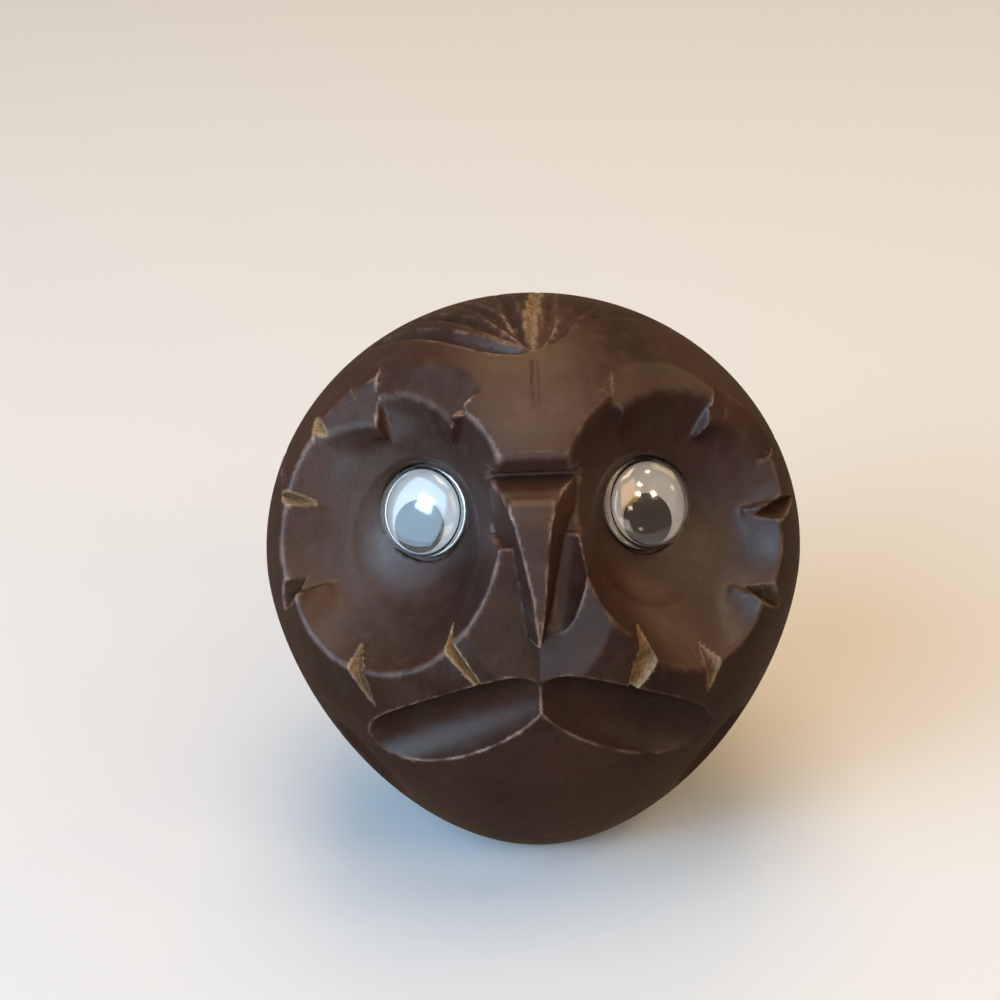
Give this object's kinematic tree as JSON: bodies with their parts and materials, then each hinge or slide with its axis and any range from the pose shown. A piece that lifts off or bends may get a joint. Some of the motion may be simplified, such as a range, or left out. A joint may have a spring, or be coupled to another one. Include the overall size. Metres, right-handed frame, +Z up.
{
  "type": "wooden owl figurine",
  "caption": "Small egg-shaped carved wooden owl with two deep scalloped eye dishes, a wedge beak and round wiggle eyes of clear domed plastic, standing on its flat underside.",
  "frame": {"origin": "centre of the bounding box in plan, on the plane of the flat underside that the owl stands on", "axes": "+Z up, along the owl's height; the face looks along -Y; +X is the viewer's right when facing the owl"},
  "size_m": [0.0746, 0.068, 0.0787],
  "materials": {
    "stained_wood": "dark red-brown stain, rubbed semi-gloss, lighter on worn edges",
    "white_plastic": "plain white",
    "clear_plastic": "clear, polished"
  },
  "bodies": {
    "root": {"carved_body": "stained_wood", "left_eye_backing": "white_plastic", "right_eye_backing": "white_plastic", "left_eye_dome": "clear_plastic", "right_eye_dome": "clear_plastic"}
  },
  "joints": []
}
